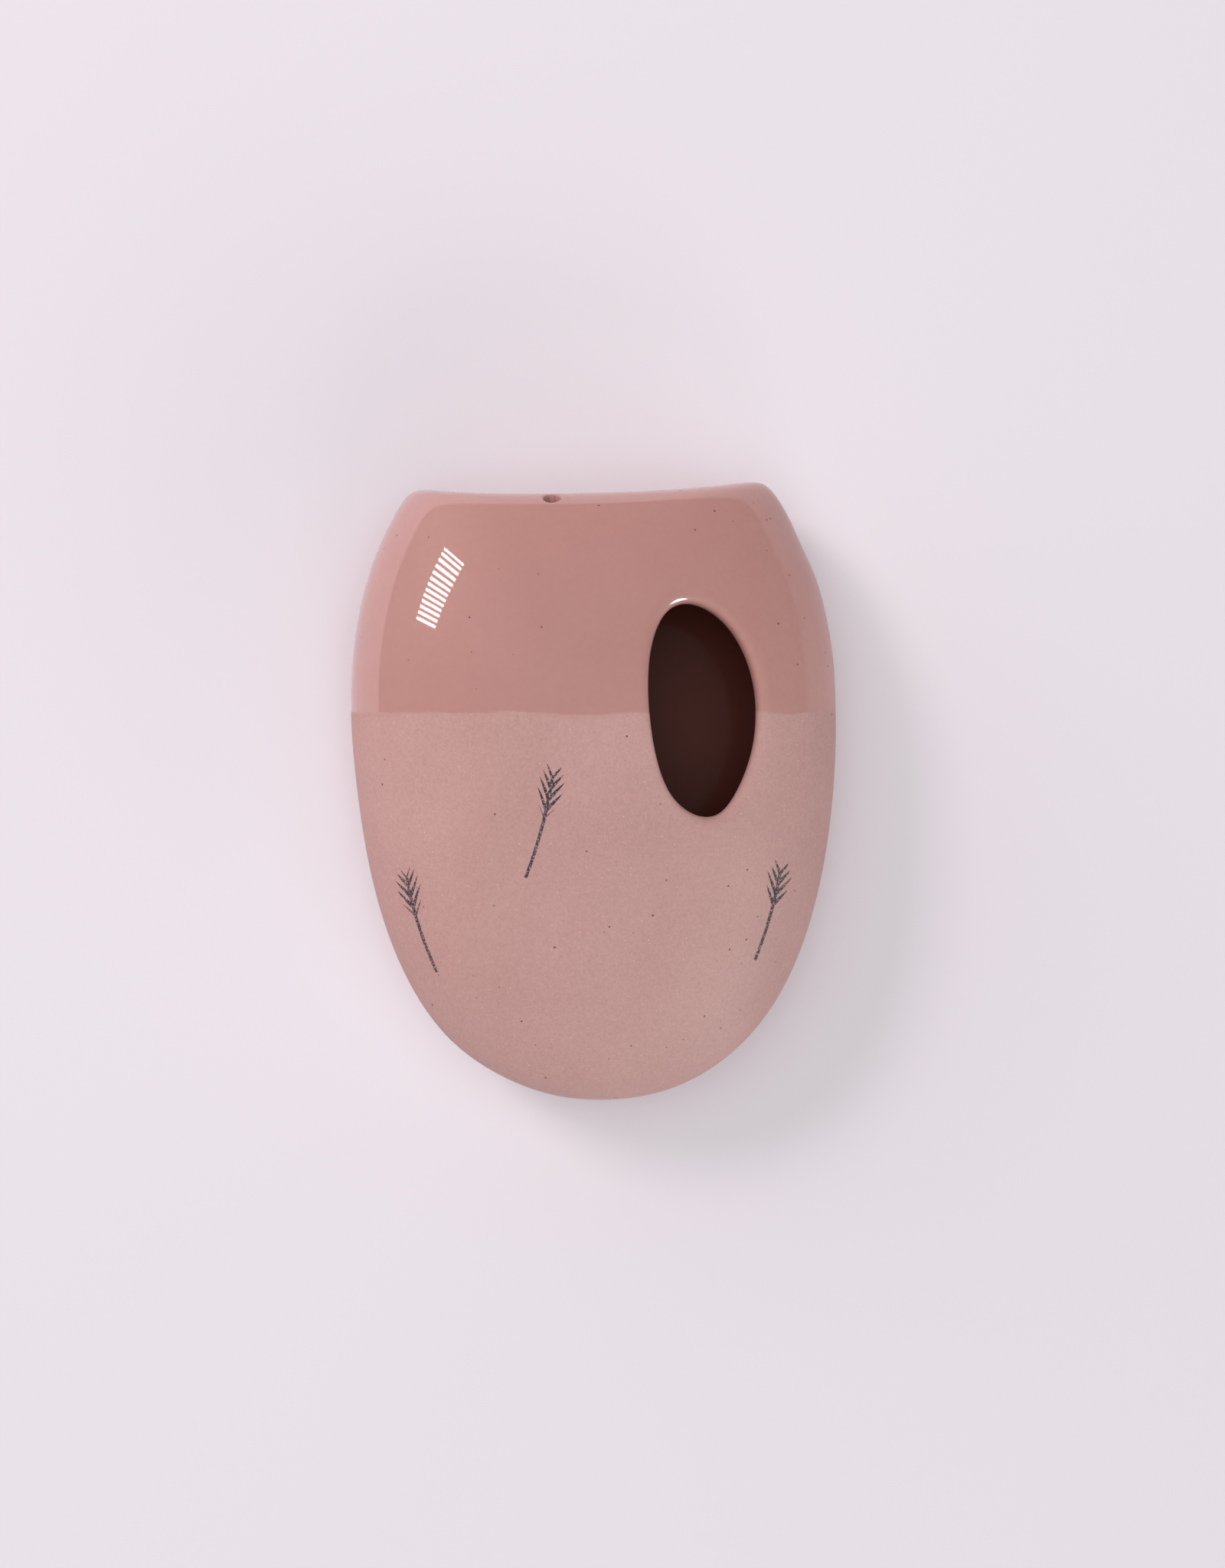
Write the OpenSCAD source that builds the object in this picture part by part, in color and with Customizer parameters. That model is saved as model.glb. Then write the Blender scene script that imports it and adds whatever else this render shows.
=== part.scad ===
// Wall vase: one hollow porcelain form with a flat back and a cut top, an egg-shaped opening
// in its front and a small stem hole at the top edge. It hangs by a keyhole on a screw.
// Millimetres. X is to the right, Y goes into the wall and Z is up.
// The origin is on the axis of the screw, in the plane of the wall.

/* [Vase form] */
// Greatest width of the vase
body_w = 110; // [90:1:140]
// Height from the bottom to the widest level
low_h = 93.8; // [80:0.1:110]
// Height from the widest level to where the round form would close
crown_h = 67.4; // [60:0.1:80]
// Height from the widest level to the cut top
top_h = 46.3; // [40:0.1:52]
// Depth from the widest line to the front
front_d = 30; // [24:0.5:38]
// Depth from the widest line to the flat back
back_d = 18; // [15:0.5:22]
// Depth from the widest line to where the round back would close
back_round_d = 27; // [25:0.5:34]
// Sag of the cut top at its middle
top_sag = 1.7; // [0:0.1:3]
// Distance from the middle to where the sag ends
sag_x = 40; // [30:1:48]
// Thickness of the porcelain
wall_t = 4; // [3:0.1:5]

/* [Front opening] */
// Width of the opening
open_w = 24.7; // [16:0.1:28]
// Height of the opening
open_h = 46.7; // [30:0.1:50]
// Distance of its centre from the middle of the vase
open_x = 23.9; // [18:0.1:26]
// Distance of its centre below the widest level
open_drop = 6.1; // [0:0.1:14]
// Bulge that moves the belly of the opening towards the side of the vase
open_bulge = 1; // [0:0.1:2]
// Turn of the opening about the upright, so that it faces out square to the wall of the vase
open_yaw = 14.3; // [8:0.1:20]
// Lean of its long axis
open_lean = 2.4; // [0:0.1:8]

/* [Stem hole] */
// Diameter of the stem hole
stem_hole_d = 4.2; // [3:0.1:6]
// Distance of the hole from the middle of the vase
stem_x = 7.8; // [2:0.1:16]
// Distance of the hole from the flat back
stem_out = 37; // [34:0.1:39]
// Slope of the hole from level
stem_slope = 63; // [55:1:75]

/* [Hanging] */
// Distance of the screw below the cut top
hang_drop = 24.1; // [20:0.1:30]
// Diameter of the screw's shank
screw_d = 4; // [3:0.1:5]
// Diameter of the screw's head
screw_head_d = 8; // [7:0.1:9]
// Height of the screw's head
screw_head_h = 2.6; // [2:0.1:3.2]
// Length of the screw below its head
screw_l = 32; // [28:1:36]
// Distance that the vase lifts before the head comes free
lift = 9.5; // [8.5:0.1:12]
// Gap between the shank and the slot, all round
slot_gap = 0.3; // [0.2:0.05:0.5]
// Gap between the head and the round end of the keyhole, all round
entry_gap = 0.75; // [0.5:0.05:1]
// Gap between the head and the inner face of the back
head_gap = 0.3; // [0.2:0.05:0.5]

/* [Wall plug] */
// Diameter of the plug
plug_d = 6; // [5.8:0.1:8]
// Length of the plug in the wall
plug_l = 30; // [26:1:40]
// Length of the plug's plain stretch behind its collar
plug_plain_l = 11; // [8:0.5:14]
// Diameter of the plug's collar
plug_collar_d = 9; // [8.6:0.1:11]
// Thickness of the plug's collar
plug_collar_t = 0.9; // [0.6:0.05:1.1]
// Width of the slit that lets the plug spread
plug_slit_w = 1.2; // [0.8:0.1:1.6]

/* [Felt pads] */
// Diameter of a pad
pad_d = 10; // [8:0.5:12]
// Thickness of a pad
pad_t = 1.5; // [1.4:0.1:2.5]
// Distance of each pad from the middle of the vase
pad_x = 17; // [12:0.5:19]
// Height of the pads above the bottom of the vase
pad_h = 32; // [30:0.5:50]

/* [Hidden] */
$fn = 64;

// Overrun of a cut past the face that it leaves
over = 1;

// Colours of the pieces
porcelain = [0.76, 0.58, 0.56];
steel = [0.70, 0.71, 0.72];
nylon = [0.62, 0.64, 0.66];
felt = [0.88, 0.86, 0.83];

// Places that follow from the sizes
back_y = -pad_t;
mid_y = back_y - back_d;
widest_z = hang_drop - top_h;
bottom_z = widest_z - low_h;
half_w = body_w / 2;

// Bends of the form, as powers: 2 is an ellipse and a higher power is squarer
crown_bend = 2;
low_bend = 2.4;
front_bend = 2.1;
back_bend = 2.3;
// Crispness of the cut top's edge at the sides, at the front and at the back
side_crisp = 45;
front_crisp = 5.5;
rear_crisp = 14;
// Crispness of the flat back's edge
flat_crisp = 12;
// Rise of the cut top towards the wall, as a share of the depth
top_rise_share = 0.165;
// How fast the sag dies away below the top
sag_power = 4;
// Depth that the soft edge of the back loses to the flat cut
back_cut = 0.15;

// How far a direction reaches inside the form. A point is on the skin where this is 1.
// The inset is 0 for the outer skin and the wall for the inner one.
function blend(f, cut, crisp) = f * pow(1 + pow(max(cut, 0) / f, crisp), 1 / crisp);
function around(x, z, inset) =
    let (bend = z > 0 ? crown_bend : low_bend,
         high = (z > 0 ? crown_h : low_h) - inset)
    pow(pow(abs(x) / (half_w - inset), bend) + pow(abs(z) / high, bend), 1 / bend);
function round_form(d, inset) =
    let (bend = d.y < 0 ? front_bend : back_bend,
         deep = (d.y < 0 ? front_d : back_round_d) - inset)
    pow(pow(around(d.x, d.z, inset), bend) + pow(abs(d.y) / deep, bend), 1 / bend);
function depth_share(d, f, inset) =
    min(1, abs(d.y) / ((d.y < 0 ? front_d : back_d) - inset) / f);
function ease(s) = s * s * (3 - 2 * s);
function reach(d, inset) =
    let (f = round_form(d, inset),
         top = (d.z - top_rise_share * d.y) / (top_h - inset),
         end_crisp = d.y < 0 ? front_crisp : rear_crisp,
         crisp = side_crisp + (end_crisp - side_crisp) * ease(depth_share(d, f, inset)),
         g = blend(f, top, crisp))
    blend(g, d.y / (back_d + back_cut - inset), flat_crisp);
function sag(p, inset) =
    top_sag * max(0, 1 - pow(p.x / sag_x, 2)) * pow(max(p.z, 0) / (top_h - inset), sag_power);
function skin(d, inset) =
    let (p = d / reach(d, inset))
    [p.x, p.y + mid_y, p.z - sag(p, inset) + widest_z];

// Turns about the front axis are closer together at the two top corners
corner = 46.6;
corner_spread = 6;
function steps(from, to, n) = [for (i = [0 : n - 1]) from + (to - from) * i / n];
function turns(top_n, corner_n, low_n) =
    concat(steps(corner_spread - corner, corner - corner_spread, top_n),
           steps(corner - corner_spread, corner + corner_spread, corner_n),
           steps(corner + corner_spread, 360 - corner - corner_spread, low_n),
           steps(360 - corner - corner_spread, 360 - corner + corner_spread, corner_n));
function way(turn, tip) =
    [half_w * sin(tip) * sin(turn),
     -cos(tip) * (tip < 90 ? front_d : back_d),
     sin(tip) * cos(turn) * (cos(turn) > 0 ? crown_h : low_h)];

// One closed skin: a point at the front, rings, and a point at the back
module form(inset, round_turns, ring_n) {
    n = len(round_turns);
    tips = [for (i = [1 : ring_n - 1]) 180 * i / ring_n];
    rings = [for (tip = tips) for (turn = round_turns) skin(way(turn, tip), inset)];
    front_point = len(rings);
    points = concat(rings, [skin([0, -1, 0], inset), skin([0, 1, 0], inset)]);
    faces = concat(
        [for (r = [0 : ring_n - 3]) for (i = [0 : n - 1])
            [r * n + (i + 1) % n, r * n + i, (r + 1) * n + i]],
        [for (r = [0 : ring_n - 3]) for (i = [0 : n - 1])
            [(r + 1) * n + (i + 1) % n, r * n + (i + 1) % n, (r + 1) * n + i]],
        [for (i = [0 : n - 1]) [front_point, i, (i + 1) % n]],
        [for (i = [0 : n - 1]) [front_point + 1, (ring_n - 2) * n + (i + 1) % n, (ring_n - 2) * n + i]]);
    intersection() {
        polyhedron(points, faces, convexity = 4);
        translate([-body_w, -body_w + back_y - inset, -low_h - crown_h + widest_z])
            cube([2 * body_w, body_w, 2 * (low_h + crown_h)]);
    }
}

// Egg outline of the opening, with its long axis along Y. It is wider above the middle, by a share.
egg_top_share = 0.03;
egg_n = 64;
function egg_outline(w, h, bulge) =
    [for (t = steps(0, 360, egg_n))
        [w / 2 * cos(t) * (1 + egg_top_share * sin(t)) + bulge * cos(2 * t), h / 2 * sin(t)]];

// Depth of the front skin at the opening's centre
open_y = mid_y - front_d * pow(1 - pow(around(open_x, -open_drop, 0), front_bend), 1 / front_bend);
module front_opening() {
    translate([open_x, open_y, widest_z - open_drop])
        rotate([0, 0, open_yaw])
            rotate([90, 0, 0])
                translate([0, 0, -front_d / 2])
                    linear_extrude(front_d)
                        rotate(open_lean)
                            polygon(egg_outline(open_w, open_h, open_bulge));
}

// Height of the skin over a place on the top, found by halving
stem_y = stem_out - back_d;
function skin_z(low, high, n) =
    let (z = (low + high) / 2)
    n == 0 ? z
    : reach([-stem_x, -stem_y, z], 0) < 1 ? skin_z(z, high, n - 1) : skin_z(low, z, n - 1);
halvings = 24;
stem_top = skin_z(0, crown_h, halvings);
stem_z = stem_top - sag([-stem_x, -stem_y, stem_top], 0) + widest_z;
module stem_hole() {
    translate([-stem_x, mid_y - stem_y, stem_z])
        rotate([90 - stem_slope, 0, 0])
            cylinder(h = 3 * wall_t, d = stem_hole_d, center = true);
}

// The keyhole: a slot for the shank that ends below in a round hole for the head
slot_d = screw_d + 2 * slot_gap;
entry_d = screw_head_d + 2 * entry_gap;
module back_hole(d, z) {
    translate([0, back_y + over, z])
        rotate([90, 0, 0])
            cylinder(h = wall_t + 2 * over, d = d);
}
module keyhole() {
    back_hole(slot_d, 0);
    back_hole(entry_d, -lift);
    translate([-slot_d / 2, back_y - wall_t - over, -lift])
        cube([slot_d, wall_t + 2 * over, lift]);
}

// Turns about the front axis and rings, in the outer and the inner skin. The counts of turns are
// those over the top, at each corner and round the sides and bottom.
outer_turns = turns(12, 6, 40);
outer_rings = 22;
inner_turns = turns(10, 4, 30);
inner_rings = 16;
module vase_body() {
    color(porcelain)
        difference() {
            form(0, outer_turns, outer_rings);
            form(wall_t, inner_turns, inner_rings);
            front_opening();
            stem_hole();
            keyhole();
        }
}

// The screw lies along Y, with its head inside the vase
head_y = back_y - wall_t - head_gap;
head_round = 1.2;
recess_w = 1.1;
recess_l = 4.6;
recess_t = 1.5;
tip_l = 4;
tip_d = 0.8;
module screw_profile() {
    polygon(concat(
        [[0, screw_head_h], [screw_head_d / 2 - head_round, screw_head_h]],
        [for (a = steps(90, 0, head_round_n))
            [screw_head_d / 2 - head_round + head_round * cos(a),
             screw_head_h - head_round + head_round * sin(a)]],
        [[screw_head_d / 2, screw_head_h - head_round], [screw_head_d / 2, 0], [screw_d / 2, 0],
         [screw_d / 2, tip_l - screw_l], [tip_d / 2, -screw_l], [0, -screw_l]]));
}
head_round_n = 4;
module recess_arm() {
    translate([-recess_l / 2, -recess_w / 2, screw_head_h - recess_t])
        cube([recess_l, recess_w, recess_t + over]);
}
module wall_screw() {
    color(steel)
        translate([0, head_y, 0])
            rotate([90, 0, 0])
                difference() {
                    rotate_extrude()
                        screw_profile();
                    recess_arm();
                    rotate(90)
                        recess_arm();
                }
}

// The plug lies along Y, with its collar in front of the wall and saw teeth at its far end
tooth_n = 6;
tooth_h = 0.4;
plug_bore_gap = 0.05;
plug_end_t = 1.5;
plug_bore_d = screw_d + 2 * plug_bore_gap;
tooth_l = (plug_l - plug_plain_l) / tooth_n;
module plug_profile() {
    polygon(concat(
        [[0, -plug_collar_t], [plug_collar_d / 2, -plug_collar_t], [plug_collar_d / 2, 0],
         [plug_d / 2, 0], [plug_d / 2, plug_plain_l]],
        [for (i = [0 : tooth_n - 1]) for (top = [0, 1])
            [plug_d / 2 - tooth_h * (1 - top), plug_plain_l + tooth_l * (i + top)]],
        [[0, plug_l]]));
}
module wall_plug() {
    color(nylon)
        rotate([-90, 0, 0])
            difference() {
                rotate_extrude()
                    plug_profile();
                translate([0, 0, -plug_collar_t - over])
                    cylinder(h = plug_collar_t + over + plug_l - plug_end_t, d = plug_bore_d);
                translate([-plug_d, -plug_slit_w / 2, plug_plain_l])
                    cube([2 * plug_d, plug_slit_w, plug_l - plug_plain_l - plug_end_t]);
            }
}

module wall_pad(x) {
    color(felt)
        translate([x, 0, bottom_z + pad_h])
            rotate([90, 0, 0])
                cylinder(h = pad_t, d = pad_d);
}

vase_body();
wall_screw();
wall_plug();
wall_pad(-pad_x);  // wall_pad_left
wall_pad(pad_x);  // wall_pad_right
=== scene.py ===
# %% [markdown]
# # A wall vase, dressed in Blender
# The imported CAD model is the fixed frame: one hollow porcelain vase, the screw and plug that hold
# it on the wall, and two felt pads on its back. This lesson makes all of them but the plug again
# with finer forms, and gives every piece its finish. Lengths are in metres.

# %% Load the frame
import math

import bpy
import numpy as np
from mathutils import Matrix, Vector


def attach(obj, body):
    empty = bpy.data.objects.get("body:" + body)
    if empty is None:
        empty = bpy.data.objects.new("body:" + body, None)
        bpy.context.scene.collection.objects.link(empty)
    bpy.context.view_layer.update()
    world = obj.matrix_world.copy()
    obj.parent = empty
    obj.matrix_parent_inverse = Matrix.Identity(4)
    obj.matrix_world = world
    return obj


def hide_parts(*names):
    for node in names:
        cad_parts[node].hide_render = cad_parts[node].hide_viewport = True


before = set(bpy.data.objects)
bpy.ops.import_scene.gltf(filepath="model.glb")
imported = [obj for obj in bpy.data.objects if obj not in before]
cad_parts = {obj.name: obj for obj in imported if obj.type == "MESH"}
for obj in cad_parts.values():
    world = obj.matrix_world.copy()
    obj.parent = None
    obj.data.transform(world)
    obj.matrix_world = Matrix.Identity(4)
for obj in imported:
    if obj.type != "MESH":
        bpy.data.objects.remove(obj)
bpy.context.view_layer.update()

MM = 0.001

# %% [markdown]
# ## The sizes that the form follows
# The vase is one round form with a soft flat back and a cut top. Its skin is found from a formula,
# so the same sizes as in the CAD source give the same skin here, only with far more points.

# %% Sizes of the form
half_w = 55 * MM
low_h, crown_h, top_h = 93.8 * MM, 67.4 * MM, 46.7 * MM
front_d, back_d, back_round_d = 30 * MM, 18 * MM, 27 * MM
wall_t = 4 * MM
pad_t = 1.5 * MM
back_y = -pad_t
widest_z = (24.1 - 46.3) * MM
middle = np.array([0, back_y - back_d, widest_z])

crown_bend, low_bend, front_bend, back_bend = 2, 2.4, 2.1, 2.3
side_crisp, front_crisp, rear_crisp, flat_crisp = 45, 5.5, 14, 12
top_rise_share = 0.135
top_sag, sag_x, sag_power = 1.7 * MM, 40 * MM, 4
back_cut = 0.15 * MM
print("form, mm:", round(2 * half_w / MM, 1), "wide,", round((low_h + top_h) / MM, 1), "high")

# %% [markdown]
# ### Round body, cut top and flat back
# The body is two rounded halves that meet at its widest line. The cut of the top and the flat of
# the back are blended into it, and a number for each says how crisp the edge comes out. Bevels
# could round these edges too, but a formula gives the hollow the same form, one wall further in.


# %% How far the skin is in a given direction from the middle
def soft_cut(f, cut, crisp):
    return f * (1 + (np.maximum(cut, 0) / f) ** crisp) ** (1 / crisp)


def round_form(d, inset):
    x, y, z = d[..., 0], d[..., 1], d[..., 2]
    bend = np.where(z > 0, crown_bend, low_bend)
    high = np.where(z > 0, crown_h, low_h) - inset
    around = ((np.abs(x) / (half_w - inset)) ** bend + (np.abs(z) / high) ** bend) ** (1 / bend)
    bend = np.where(y < 0, front_bend, back_bend)
    deep = np.where(y < 0, front_d, back_round_d) - inset
    return (around ** bend + (np.abs(y) / deep) ** bend) ** (1 / bend)


def top_level(d, inset):
    return (d[..., 2] - top_rise_share * d[..., 1]) / (top_h - inset)


def reach(d, inset):
    y = d[..., 1]
    f = round_form(d, inset)
    share = np.minimum(1, np.abs(y) / (np.where(y < 0, front_d, back_d) - inset) / f)
    end_crisp = np.where(y < 0, front_crisp, rear_crisp)
    crisp = side_crisp + (end_crisp - side_crisp) * share * share * (3 - 2 * share)
    g = soft_cut(f, top_level(d, inset), crisp)
    return soft_cut(g, y / (back_d + back_cut - inset), flat_crisp)


# %% [markdown]
# ### The hand in the form
# The top of a cast vase sinks a little between its corners while the clay is soft, and sponging
# leaves the outline uneven. Both are small moves of the skin's points. The back wall is a little
# thicker across from the opening, as clay is that drained to one side of its mould.

# %% The sag of the top and the uneven outline
hollow_tilt, sag_rounds = 0.035, 6
tilt_x, tilt_start, tilt_fade = 45 * MM, 6 * MM, 7 * MM


def sag(p, inset):
    across = np.maximum(0, 1 - (p[..., 0] / sag_x) ** 2)
    return top_sag * across * (np.maximum(p[..., 2], 0) / (top_h - inset)) ** sag_power


def hand_made(p):
    """No cast piece is even: (turn from the top, width of the turn, growth) of nine places."""
    turn = np.degrees(np.arctan2(p[..., 0], p[..., 2]))
    uneven = ((50, 16, 0.010), (56, 7, -0.011), (100, 20, 0.007), (164, 10, -0.005),
              (-166, 9, -0.0105), (-118, 22, -0.002), (-97, 14, 0.007), (-54, 16, 0.006),
              (-40, 8, 0.007))
    return 1 + sum(share * np.exp(-((turn - place) / wide) ** 2) for place, wide, share in uneven)


# %% The point of the skin in a direction, and the direction that leads to a point
def skin(d, inset):
    p = d / reach(d, inset)[..., None]
    p[..., ::2] *= hand_made(p)[..., None]
    p[..., 2] -= sag(p, inset)
    p += middle
    thick = 0
    if inset:
        share = np.clip((p[..., 0] - tilt_start) / tilt_fade, 0, 1)
        thick = hollow_tilt * np.clip(tilt_x - p[..., 0], 0, None)
        thick = thick * share * share * (3 - 2 * share)
    p[..., 1] = np.minimum(p[..., 1], back_y - inset - thick)
    return p


def direction(place, inset):
    d = place - middle
    sagged = d[..., 2].copy()
    for _ in range(sag_rounds):
        d[..., 2] = sagged + sag(d, inset)
    d[..., ::2] /= hand_made(d)[..., None]
    return d


def level(place, inset):
    """Below 1 inside the skin, and above 1 outside it."""
    return reach(direction(place, inset), inset)


straight_ahead = skin(np.array([[0.0, -1.0, 0.0]]), 0)[0]
print("skin straight ahead, mm:", (straight_ahead / MM).round(1))

# %% [markdown]
# ## The front opening
# The opening is an egg shape cut square to the wall of the vase while the clay was leather hard.
# Its rim was sponged, so it is round. The outline lies in a plane that is turned a little to the
# side, and each of its points runs along the cut until it meets the outer or the inner skin.

# %% Outline of the opening and the rim's rounding
open_w, open_h, open_bulge = 24.7 * MM, 46.7 * MM, 1 * MM
open_x, open_drop = 23.9 * MM, 6.1 * MM
open_yaw, open_lean = math.radians(14.3), math.radians(2.4)
egg_top_share = 0.03
low_tip, low_tip_power = 1.9 * MM, 6.5
high_tip, high_tip_power = 0.45 * MM, 6
rim_in = 1.1 * MM
rim_least, low_right_more, top_left_more = 1.4, 2.0, 2.1    # in mm


def rim_out(t):
    """The sponge took more off the low right and the top left of the rim than off the rest."""
    low_right = (0.5 + 0.5 * np.cos(t + math.radians(35))) ** 2
    top_left = (0.5 + 0.5 * np.cos(t - math.radians(112))) ** 6
    return (rim_least + low_right_more * low_right + top_left_more * top_left)[:, None] * MM


# %% Plane of the opening
across = np.array([math.cos(open_yaw), math.sin(open_yaw), 0])
upward = np.array([0, 0, 1])
cut_out = np.array([math.sin(open_yaw), -math.cos(open_yaw), 0])
around_c = ((open_x / half_w) ** low_bend + (open_drop / low_h) ** low_bend) ** (1 / low_bend)
open_y = middle[1] - front_d * (1 - around_c ** front_bend) ** (1 / front_bend)
open_c = np.array([open_x, open_y, widest_z - open_drop])
print("middle of the opening, mm:", (open_c / MM).round(1))

# %% The egg shape in its plane, and where it meets a skin
halvings = 40
cut_from, cut_to = -12 * MM, 16 * MM


def egg(t, grow):
    def outline(t):
        u = open_w / 2 * np.cos(t) * (1 + egg_top_share * np.sin(t)) + open_bulge * np.cos(2 * t)
        u = u + low_tip * np.maximum(-np.sin(t), 0) ** low_tip_power
        u = u - high_tip * np.maximum(np.sin(t), 0) ** high_tip_power
        return np.stack([u, open_h / 2 * np.sin(t)], -1)
    along = outline(t + 1e-4) - outline(t - 1e-4)
    along /= np.linalg.norm(along, axis=-1, keepdims=True)
    flat = outline(t) + grow * np.stack([along[..., 1], -along[..., 0]], -1)
    c, s = math.cos(open_lean), math.sin(open_lean)
    return np.stack([c * flat[..., 0] - s * flat[..., 1], s * flat[..., 0] + c * flat[..., 1]], -1)


def on_skin(t, grow, inset):
    """Each point slides along the cut until it is on the skin, found by halving the way."""
    flat = egg(t, grow)
    foot = open_c + flat[..., :1] * across + flat[..., 1:] * upward
    low, high = np.full(len(t), cut_from), np.full(len(t), cut_to)
    for _ in range(halvings):
        half = (low + high) / 2
        inside = level(foot + half[:, None] * cut_out, inset) < 1
        low, high = np.where(inside, half, low), np.where(inside, high, half)
    return foot + low[:, None] * cut_out


# %% [markdown]
# ## The vase from one sphere
# A sphere primitive has the right topology for a vessel with one opening: one pole lies on the flat
# back, the rings widen over the outer skin, turn round the rim of the opening, go back over the
# inner skin and close at a second pole. So the wall, the rim and the hollow are one closed mesh
# with no seam. Edit-mode tools can't place such points exactly, so code moves them here.

# %% Add the sphere and read each vertex's place in the grid
turn_n = 288
outer_arc_n, flat_n, inner_arc_n = 6, 3, 4
out_n, rim_n, in_n = 160, outer_arc_n + flat_n + inner_arc_n, 72
ring_n = out_n + rim_n + in_n

bpy.ops.object.select_all(action="DESELECT")
bpy.ops.mesh.primitive_uv_sphere_add(segments=turn_n, ring_count=ring_n, radius=1)
vase = bpy.context.object
vase.name = "vase_shell"
raw = np.empty(3 * len(vase.data.vertices))
vase.data.vertices.foreach_get("co", raw)
raw = raw.reshape(-1, 3)
ring_of = np.rint(np.arccos(np.clip(raw[:, 2], -1, 1)) / math.pi * ring_n).astype(int)
turn_of = np.rint(np.arctan2(raw[:, 1], raw[:, 0]) / (2 * math.pi) * turn_n).astype(int) % turn_n
print("sphere:", len(raw), "vertices in", ring_n, "rings")

# %% [markdown]
# ### Rings from the rim to the back
# Each ring lies on the skin at a share of the way from the rim to the pole on the back. The steps
# start small at the rim and grow, and near the top's edge the rings are drawn closer to it, because
# a soft edge needs more faces than a flat part. Subdividing would make every part finer alike.

# %% Rings over a skin, from the rim to the pole on the back
stretch = np.array([55, 26, 75]) * MM
step_growth = 1.09
edge_pull, edge_wide, edge_reach, edge_rounds = 0.6, 0.12, 0.4, 12
pull_from = 0.05


def graded(n, first, last):
    steps = np.minimum(first * step_growth ** np.arange(n), last)
    return np.concatenate([[0], np.cumsum(steps)]) / steps.sum()


def finer_at_edge(d, inset):
    """Directions near the edge of the top, where the ratio below is 1, come closer to it."""
    def ratio(d):
        return top_level(d, inset) / round_form(d, inset)
    start = ratio(d)
    wanted = start - edge_pull * (start - 1) * np.exp(-((start - 1) / edge_wide) ** 2)
    near = (np.abs(start - 1) < edge_reach) & (d[..., 2] > 0)
    step, most = np.array([0, 0, 0.02 * MM]), 2 * MM
    for _ in range(edge_rounds):
        now = ratio(d)
        slope = np.maximum((ratio(d + step) - now) / step[2], 1)
        move = np.where(near, np.clip((wanted - now) / slope, -most, most), 0)
        d = d + move[..., None] * np.array([0, 0, 1])
    return d


def skin_rings(start, inset, shares):
    first = direction(start, inset) / stretch
    first /= np.linalg.norm(first, axis=-1, keepdims=True)
    pole = -first.mean(0)
    pole /= np.linalg.norm(pole)
    angle = np.arccos(np.clip(first @ pole, -1, 1))[:, None]
    rings = [start]
    for share in shares[1:-1]:
        way = (np.sin((1 - share) * angle) * first + np.sin(share * angle) * pole) * stretch
        way = way / reach(way, inset)[:, None]
        blend = min(1, share / pull_from)
        way = way + blend * (finer_at_edge(way, inset) - way)
        rings.append(skin(way, inset))
    return rings, skin((pole * stretch)[None], inset)[0]


print("rings wanted:", out_n, "outside,", rim_n, "round the rim and", in_n, "inside")

# %% [markdown]
# ### The rim
# The knife left the wall's whole thickness to be seen, and the sponge rounded the outside edge
# more than the inside one. A bevel has one width all round, so the rim's rings are placed on a
# curve from the face to the cut wall instead. The rounding never goes deeper than the wall allows.

# %% Rim: a round outside edge, the cut wall and a smaller round inside edge
rim_flat = 0.4 * MM
t = 2 * math.pi * np.arange(turn_n) / turn_n
outer_start = on_skin(t, rim_out(t), 0)
outer_corner = on_skin(t, 0, 0)
inner_start = on_skin(t, rim_in, wall_t)
inner_corner = on_skin(t, 0, wall_t)
wall = np.linalg.norm(outer_corner - inner_corner, axis=1, keepdims=True)
print("wall at the rim, mm:", (wall.min() / MM).round(2), "to", (wall.max() / MM).round(2))
outer_foot = outer_corner - np.minimum(rim_out(t), wall - rim_in - rim_flat) * cut_out
inner_foot = inner_corner + rim_in * cut_out


def arc(a, corner, b, n):
    return [(1 - s) ** 2 * a + 2 * s * (1 - s) * corner + s * s * b
            for s in np.arange(1, n + 1) / n]


rim_rings = arc(outer_start, outer_corner, outer_foot, outer_arc_n)
rim_rings += [outer_foot + s * (inner_foot - outer_foot)
              for s in np.arange(1, flat_n + 1) / flat_n]
rim_rings += arc(inner_foot, inner_corner, inner_start, inner_arc_n)

# %% Put the rings together and move the sphere's vertices
outer_shares = graded(out_n, first=0.3 * MM, last=1.1 * MM)
inner_shares = graded(in_n, first=0.4 * MM, last=2.6 * MM)
outer_rings, outer_pole = skin_rings(outer_start, 0, outer_shares)
inner_rings, inner_pole = skin_rings(inner_start, wall_t, inner_shares)
grid = [np.tile(outer_pole, (turn_n, 1))] + outer_rings[::-1] + rim_rings
grid += inner_rings[1:] + [np.tile(inner_pole, (turn_n, 1))]
grid = np.array(grid)
print("grid:", grid.shape, "rings wanted:", ring_n + 1)
places = grid[ring_of, turn_of]
first_corner = np.empty(len(vase.data.polygons), int)
vase.data.polygons.foreach_get("loop_start", first_corner)
loop_vertex = np.empty(len(vase.data.loops), int)
vase.data.loops.foreach_get("vertex_index", loop_vertex)
ring_of_face = ring_of[loop_vertex[first_corner]]
vase.data.vertices.foreach_set("co", places.ravel())
vase.data.update()

bpy.ops.object.mode_set(mode="EDIT")
bpy.ops.mesh.select_all(action="SELECT")
bpy.ops.mesh.normals_make_consistent(inside=False)
bpy.ops.object.mode_set(mode="OBJECT")

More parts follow.
